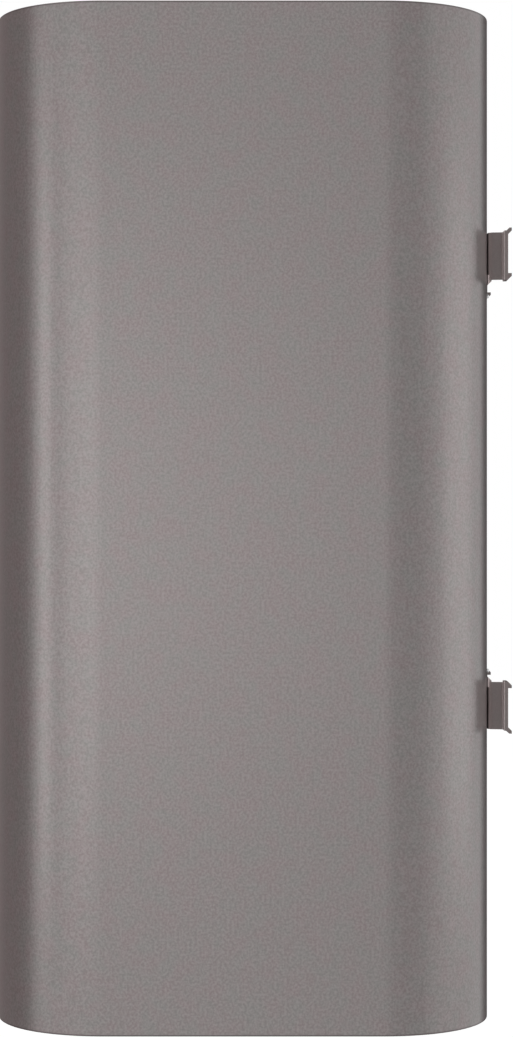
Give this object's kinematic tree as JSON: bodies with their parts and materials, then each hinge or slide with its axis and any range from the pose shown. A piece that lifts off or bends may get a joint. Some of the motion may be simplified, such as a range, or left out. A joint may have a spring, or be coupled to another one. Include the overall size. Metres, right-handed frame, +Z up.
{
  "type": "wall-hung electric storage water heater",
  "caption": "Flat wall-hung electric water heater: rounded steel casing around two foamed upright tanks, pipe ends below, control panel in front, stamped hook brackets behind.",
  "frame": {"origin": "centre of the four hook slots, on the wall side of the raised bridges of the two brackets", "axes": "+Y from the front of the heater towards the wall, +Z up, +X to the right seen from the front"},
  "size_m": [0.502, 0.2913, 0.5589],
  "materials": {
    "casing_paint": "satin",
    "cap_plastic": "satin",
    "bracket_paint": "satin",
    "zinc_steel": "satin",
    "tank_steel": "gloss",
    "pipe_steel": "satin",
    "liner_plastic": "satin",
    "cold_blue": "satin",
    "hot_red": "satin",
    "foam": "matte",
    "gasket_rubber": "matte",
    "element_sheath": "satin",
    "anode_metal": "matte",
    "panel_plastic": "gloss",
    "knob_plastic": "satin",
    "box_plastic": "matte",
    "board": "satin",
    "display": "gloss",
    "shaft_metal": "satin",
    "reset_plastic": "satin",
    "terminal_plastic": "satin",
    "lead_insulation": "satin"
  },
  "bodies": {
    "heater": {"outer_shell": "casing_paint", "top_cap": "cap_plastic", "bottom_cap": "cap_plastic", "service_cover": "cap_plastic", "upper_wall_bracket": "bracket_paint", "lower_wall_bracket": "bracket_paint", "service_cover_screws": "zinc_steel", "bracket_studs": "zinc_steel", "bracket_nuts": "zinc_steel", "casing_rivets": "zinc_steel", "right_flange_bolts": "zinc_steel", "left_flange_bolts": "zinc_steel", "right_tank_barrel": "tank_steel", "left_tank_barrel": "tank_steel", "right_upper_dome": "tank_steel", "left_upper_dome": "tank_steel", "right_lower_dome": "tank_steel", "left_lower_dome": "tank_steel", "right_neck_flange": "tank_steel", "left_neck_flange": "tank_steel", "cold_nipple": "pipe_steel", "hot_nipple": "pipe_steel", "crossover_pipe": "pipe_steel", "hot_standpipe": "pipe_steel", "right_flange_plate": "pipe_steel", "left_flange_plate": "pipe_steel", "right_sensor_pocket": "pipe_steel", "left_sensor_pocket": "pipe_steel", "nipple_liners": "liner_plastic", "dip_tube": "liner_plastic", "cold_diffuser": "liner_plastic", "cold_ring": "cold_blue", "hot_ring": "hot_red", "foam_insulation": "foam", "right_flange_gasket": "gasket_rubber", "left_flange_gasket": "gasket_rubber", "right_heating_element": "element_sheath", "left_heating_element": "element_sheath", "right_anode_rod": "anode_metal", "left_anode_rod": "anode_metal", "control_bezel": "panel_plastic", "display_lens": "panel_plastic", "control_box": "box_plastic", "thermal_cutout": "box_plastic", "temperature_sensor": "box_plastic", "cable_gland": "box_plastic", "potentiometer": "box_plastic", "button_switches": "box_plastic", "control_board": "board", "display_module": "display", "terminal_block": "terminal_plastic", "element_leads": "lead_insulation", "display_cable": "lead_insulation"},
    "knob": {"temperature_knob": "knob_plastic", "knob_shaft": "shaft_metal"},
    "power_key": {"power_button": "knob_plastic"},
    "eco_key": {"eco_button": "knob_plastic"},
    "reset_key": {"reset_button": "reset_plastic"}
  },
  "joints": [
    {"name": "knob_turn", "type": "hinge", "parent": "heater", "child": "knob", "pos_m": [-0.056, -0.27835, -0.18535], "axis": [0, 1, 0], "range_deg": [0, 270]},
    {"name": "power_press", "type": "slide", "parent": "heater", "child": "power_key", "axis": [0, 1, 0], "range_m": [0, 0.0012], "stiffness_N_per_m": 400, "springref_m": -0.0015},
    {"name": "eco_press", "type": "slide", "parent": "heater", "child": "eco_key", "axis": [0, 1, 0], "range_m": [0, 0.0012], "stiffness_N_per_m": 400, "springref_m": -0.0015},
    {"name": "reset_press", "type": "slide", "parent": "heater", "child": "reset_key", "axis": [0, 0, 1], "range_m": [0, 0.0015], "stiffness_N_per_m": 500, "springref_m": -0.002}
  ]
}
